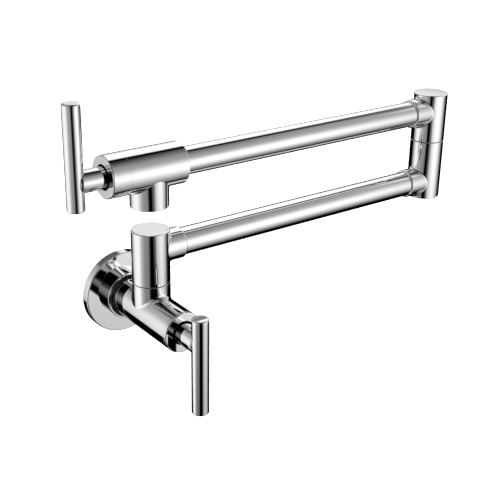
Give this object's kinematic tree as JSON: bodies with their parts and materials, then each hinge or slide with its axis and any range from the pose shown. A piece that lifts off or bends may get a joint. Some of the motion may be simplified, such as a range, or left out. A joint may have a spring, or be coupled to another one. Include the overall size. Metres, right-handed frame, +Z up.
{
  "type": "wall mounted pot filler",
  "caption": "Chromed folding tap for filling pots at a cooker: jointed swing arms on a wall valve, a downturned outlet with a valve of its own, and a lever bar on each valve.",
  "frame": {"origin": "on the wall plane, at the centre of the wall flange's back and of the inlet", "axes": "+X along the folded arms, -Y out of the wall, +Z up"},
  "size_m": [0.3535, 0.1324, 0.2193],
  "materials": {
    "chrome": "mirror polished chrome plate on brass",
    "brass": "machined",
    "steel": "plain stainless",
    "rubber": "matt",
    "nylon": "moulded",
    "acetal": "machined, black",
    "ceramic": "lapped"
  },
  "bodies": {
    "wall_mount": {"wall_flange": "chrome", "flange_gasket": "rubber", "flange_oring": "rubber", "inlet_nipple": "brass", "inlet_washer": "rubber", "valve_body": "chrome", "wall_bonnet": "chrome", "wall_cartridge": "brass", "wall_fixed_disc": "ceramic", "wall_seat_seal": "rubber", "base_post": "brass", "base_post_orings": "rubber", "base_circlip": "steel", "base_washer": "acetal"},
    "wall_lever": {"wall_moving_disc": "ceramic", "wall_spindle": "brass", "wall_spindle_oring": "rubber", "wall_lever_hub": "chrome", "wall_lever_bar": "chrome", "wall_grub_screw": "steel"},
    "lower_arm": {"base_column": "chrome", "base_cap": "chrome", "base_cap_oring": "rubber", "lower_arm_tube": "chrome", "elbow_lower": "chrome", "elbow_plug": "chrome", "elbow_plug_oring": "rubber", "elbow_post": "brass", "elbow_post_orings": "rubber", "elbow_circlip": "steel", "elbow_washer": "acetal"},
    "upper_arm": {"elbow_upper": "chrome", "elbow_cap": "chrome", "elbow_cap_oring": "rubber", "upper_arm_tube": "chrome", "spout_body": "chrome", "spout_bonnet": "chrome", "spout_cartridge": "brass", "spout_fixed_disc": "ceramic", "spout_seat_seal": "rubber", "aerator_housing": "chrome", "aerator_grille": "nylon", "aerator_jet_plate": "nylon", "aerator_washer": "rubber"},
    "spout_lever": {"spout_moving_disc": "ceramic", "spout_spindle": "brass", "spout_spindle_oring": "rubber", "spout_lever_hub": "chrome", "spout_lever_bar": "chrome", "spout_grub_screw": "steel"}
  },
  "joints": [
    {"name": "base_swivel", "type": "hinge", "parent": "wall_mount", "child": "lower_arm", "pos_m": [0, -0.0467, 0.0493], "axis": [0, 0, -1], "range_deg": [0, 180]},
    {"name": "elbow_swivel", "type": "hinge", "parent": "lower_arm", "child": "upper_arm", "pos_m": [0.276, -0.0467, 0.1103], "axis": [0, 0, 1], "continuous": true},
    {"name": "wall_lever_turn", "type": "hinge", "parent": "wall_mount", "child": "wall_lever", "pos_m": [0, -0.0891, 0], "axis": [0, -1, 0], "range_deg": [0, 90]},
    {"name": "spout_lever_turn", "type": "hinge", "parent": "upper_arm", "child": "spout_lever", "pos_m": [-0.0361, -0.0467, 0.1103], "axis": [1, 0, 0], "range_deg": [0, 90]}
  ]
}
